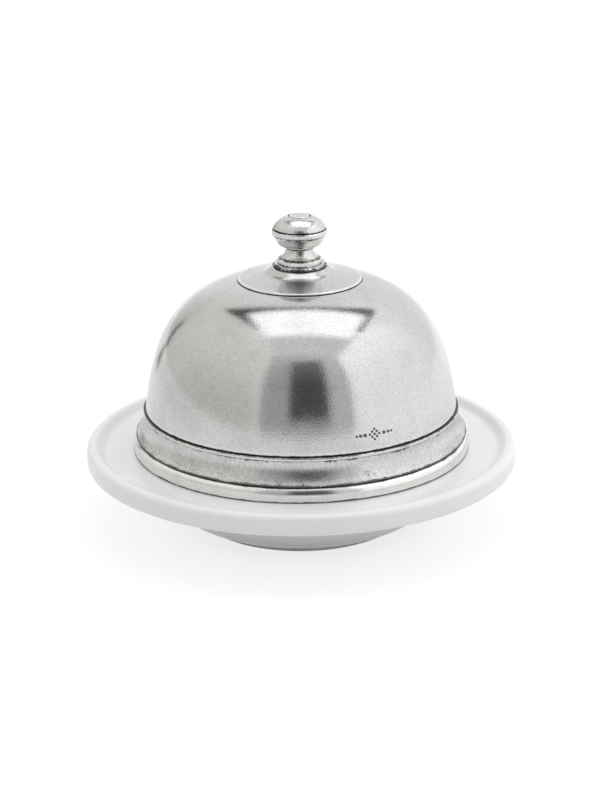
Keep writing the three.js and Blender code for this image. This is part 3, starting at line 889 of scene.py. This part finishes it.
# floor and light: a white tent with brighter and darker parts, by direction from the dish
studio = {
    "wall": 0.97,
    "fill": 1.1,  # the tent as it lights the dish
    # upright cards, in degrees round from the front to the right, and up; most grow lighter upward
    "cards": [
        {"azimuth": -95, "halfWidth": 64, "soft": 12, "low": -60, "high": 60, "softUp": 12,
         "tones": (0.65, 0.86), "rise": (0, 42), "tint": (1.0, 0.988, 0.958)},
        {"azimuth": -118, "halfWidth": 20, "soft": 14, "low": -60, "high": 60, "softUp": 12,
         "tones": (0.75, 0.86), "rise": (0, 42), "tint": (1.0, 0.988, 0.958)},
        {"azimuth": 92, "halfWidth": 56, "soft": 8, "low": -60, "high": 62, "softUp": 8,
         "tones": (1.13, 1.34), "rise": (10, 55)},
        {"azimuth": 140, "halfWidth": 18, "soft": 18, "low": -60, "high": 55, "softUp": 8,
         "tones": (1.0, 1.18), "rise": (20, 55)},
        {"azimuth": 4, "halfWidth": 35, "soft": 3, "low": -0.6, "high": 61, "softUp": 0.6,
         "tones": (0.45, 0.62), "rise": (22, 62)},
        {"azimuth": 30, "halfWidth": 7, "soft": 5, "low": -0.6, "high": 61, "softUp": 0.6,
         "tones": (0.63, 0.74), "rise": (22, 62)},
        {"azimuth": 6, "halfWidth": 15, "soft": 2.5, "low": 4.8, "high": 49, "softUp": 1.2,
         "tones": (0.09, 0.22), "rise": (22, 55)},
        {"azimuth": -142.6, "halfWidth": 1.8, "soft": 1, "low": -9, "high": 14, "softUp": 5,
         "tones": (0.05, 0.05), "rise": (0, 9)},
    ],
    # flat panels overhead, in widths and depths for each unit of height
    "panels": [
        {"left": -0.36, "right": 0.60, "front": -0.66, "back": 0.0, "lean": 0.0, "tilt": 0.0,
         "bow": 0.0, "soft": 0.03, "frontSoft": 0.2, "tone": 0.80},
        {"left": -0.365, "right": 0.64, "front": 0.10, "back": 0.65, "lean": 0.30, "tilt": -0.05,
         "bow": 0.7, "soft": 0.012, "frontSoft": 0.02, "tone": 0.09},
        {"left": -0.366, "right": 0.565, "front": -0.11, "back": 0.555, "lean": 0.06, "tilt": 0.0,
         "bow": 0.10, "soft": 0.055, "frontSoft": 0.09, "tone": 1.6},
    ],
    "panelsFrom": 0.1, "leastHeight": 0.05,  # the panels end near the horizon
    "floorHalf": 3.0,
    "floorColour": 0.3,
    "floorLift": 0.76,          # the floor as the camera sees it
    "floorGlow": (0.45, 0.36),  # as it lights the dish, near the foot and far from it
    "footShadow": (0.0475, 0.084), "farFloor": (0.10, 0.16),
    # as the pewter reflects it, from the left to the right; darker at a place on the left
    "floorSheen": (0.63, 0.84), "sheenToward": (1.0, 0.6, 0.0), "sheenRange": (0.1, 0.45),
    "floorShade": {"place": (-0.85, 0.2, 0.0), "range": (0.2, 0.65), "dark": 0.74},
    # a painted reflection of a dark edge that runs away over the floor behind the dish, seen only by
    # glossy rays
    "reflectedEdge": {"square": (1.0, 0.737, 0.0), "offset": 0.0285, "range": (0.03, 0.06),
                  "behind": (0.25, 0.4), "dark": 0.03},
}


def makeTent():
    world = bpy.data.worlds.new("whiteTent")
    bpy.context.scene.world = world
    world.use_nodes = True
    tree = world.node_tree
    tree.nodes.clear()
    toward = addNode(tree, "ShaderNodeTexCoord").outputs["Generated"]
    axis = addNode(tree, "ShaderNodeSeparateXYZ", {0: toward}).outputs
    front = calc(tree, "MULTIPLY", axis["Y"], -1.0)
    azimuth = calc(tree, "DEGREES", calc(tree, "ARCTAN2", axis["X"], front))
    height = calc(tree, "DEGREES", calc(tree, "ARCSINE", axis["Z"]))
    light = grey(studio["wall"])

    def cutBy(edges):
        seen = edges[0]
        for edge in edges[1:]:
            seen = calc(tree, "MULTIPLY", seen, edge)
        return seen

    for card in studio["cards"]:
        turn = calc(tree, "SUBTRACT", azimuth, card["azimuth"])
        aside = calc(tree, "ABSOLUTE", calc(tree, "WRAP", turn, 180.0, -180.0))
        half, soft = card["halfWidth"], card["soft"]
        low, high, softUp = card["low"], card["high"], card["softUp"]
        seen = cutBy([
            ramp(tree, aside, half - soft, half + soft, 1.0, 0.0),
            ramp(tree, height, low - softUp, low + softUp),
            ramp(tree, height, high - softUp, high + softUp, 1.0, 0.0),
        ])
        tone = ramp(tree, height, *card["rise"], *card["tones"])
        tinted = calcVector(tree, "SCALE", card.get("tint", (1.0, 1.0, 1.0)), Scale=tone)
        light = mixColour(tree, seen, light, tinted)

    upward = calc(tree, "MAXIMUM", axis["Z"], studio["leastHeight"])
    across = calc(tree, "DIVIDE", axis["X"], upward)
    behind = calc(tree, "DIVIDE", axis["Y"], upward)
    overhead = calc(tree, "GREATER_THAN", axis["Z"], studio["panelsFrom"])
    for panel in studio["panels"]:
        leaning = calc(tree, "MULTIPLY_ADD", behind, panel["lean"], across)
        fromLeft = calc(tree, "SUBTRACT", leaning, panel["left"])
        bowed = calc(tree, "MULTIPLY", calc(tree, "MULTIPLY", across, across), panel["bow"])
        tilted = calc(tree, "MULTIPLY_ADD", across, panel["tilt"], bowed)
        toBack = calc(tree, "SUBTRACT", calc(tree, "ADD", tilted, panel["back"]), behind)
        front, right = panel["front"], panel["right"]
        soft, frontSoft = panel["soft"], panel["frontSoft"]
        seen = cutBy([
            overhead,
            ramp(tree, fromLeft, -soft, soft),
            ramp(tree, across, right - soft, right + soft, 1.0, 0.0),
            ramp(tree, toBack, -soft, soft),
            ramp(tree, behind, front - frontSoft, front + frontSoft),
        ])
        light = mixColour(tree, seen, light, grey(panel["tone"]))

    rays = addNode(tree, "ShaderNodeLightPath").outputs
    fill = ramp(tree, rays["Is Glossy Ray"], 0.0, 1.0, studio["fill"], 1.0)
    tent = addNode(tree, "ShaderNodeBackground", {"Color": light, "Strength": fill})
    backdrop = addNode(tree, "ShaderNodeBackground", {"Color": grey(1.0), "Strength": 1.0})
    either = addNode(tree, "ShaderNodeMixShader", {
        0: rays["Is Camera Ray"], 1: tent.outputs[0], 2: backdrop.outputs[0]})
    addNode(tree, "ShaderNodeOutputWorld", {"Surface": either.outputs[0]})


def makeFloor():
    half = studio["floorHalf"]
    corners = [(-half, -half, 0), (half, -half, 0), (half, half, 0), (-half, half, 0)]
    mesh = bpy.data.meshes.new("floor")
    mesh.from_pydata(corners, [], [(0, 1, 2, 3)])
    floor = linkScene("floor", mesh)
    material, tree, _ = newMaterial("whiteFloor")
    tree.nodes.clear()
    paper = addNode(tree, "ShaderNodeBsdfDiffuse", {"Color": grey(studio["floorColour"])})
    rays = addNode(tree, "ShaderNodeLightPath").outputs
    place = addNode(tree, "ShaderNodeTexCoord").outputs["Object"]
    outward = measure(tree, "LENGTH", place)
    nearGlow = ramp(tree, outward, *studio["footShadow"])
    farGlow = ramp(tree, outward, *studio["farFloor"], *studio["floorGlow"])
    glow = calc(tree, "MULTIPLY", nearGlow, farGlow)
    toRight = measure(tree, "DOT_PRODUCT", place, studio["sheenToward"])
    sheen = ramp(tree, toRight, *studio["sheenRange"], *studio["floorSheen"])
    shade = studio["floorShade"]
    fromShade = measure(tree, "DISTANCE", place, shade["place"])
    shaded = ramp(tree, fromShade, *shade["range"], shade["dark"], 1.0)
    sheen = calc(tree, "MULTIPLY", sheen, shaded)
    # painted reflection: a dark stripe on the floor for glossy rays alone
    edge = studio["reflectedEdge"]
    offEdge = calc(tree, "ADD", measure(tree, "DOT_PRODUCT", place, edge["square"]), edge["offset"])
    nearEdge = ramp(tree, calc(tree, "ABSOLUTE", offEdge), *edge["range"], 1.0, 0.0)
    backward = addNode(tree, "ShaderNodeSeparateXYZ", {0: place}).outputs["Y"]
    onEdge = calc(tree, "MULTIPLY", ramp(tree, backward, *edge["behind"]), nearEdge)
    sheen = mixColour(tree, onEdge, sheen, grey(edge["dark"]))
    seen = mixColour(tree, rays["Is Glossy Ray"], glow, sheen)
    seen = mixColour(tree, rays["Is Camera Ray"], seen, grey(studio["floorLift"]))
    lift = addNode(tree, "ShaderNodeEmission", {"Color": seen, "Strength": 1.0})
    both = addNode(tree, "ShaderNodeAddShader", {0: paper.outputs[0], 1: lift.outputs[0]})
    addNode(tree, "ShaderNodeOutputMaterial", {"Surface": both.outputs[0]})
    mesh.materials.append(material)


makeTent()
makeFloor()
bpy.context.scene.view_settings.view_transform = "Standard"
print("tent and floor set")

# the camera stands at the photograph's height and distance
cameraView = {
    "height": 19.0, "distance": 0.95, "aim": (-0.00035, 0.0, 0.047), "roll": -0.0091,
    "lens": 111.56, "sensor": 36.0,
}


def makeCamera():
    data = bpy.data.cameras.new("camera")
    data.sensor_width = cameraView["sensor"]
    data.lens = cameraView["lens"]
    camera = linkScene("camera", data)
    tilt = math.radians(cameraView["height"])
    back = Vector((0.0, -math.cos(tilt), math.sin(tilt)))
    camera.location = Vector(cameraView["aim"]) + back * cameraView["distance"]
    facing = (-back).to_track_quat("-Z", "Y")
    camera.rotation_mode = "QUATERNION"
    camera.rotation_quaternion = facing @ Quaternion((0, 0, 1), cameraView["roll"])
    return camera


bpy.context.scene.camera = makeCamera()
print("camera placed")
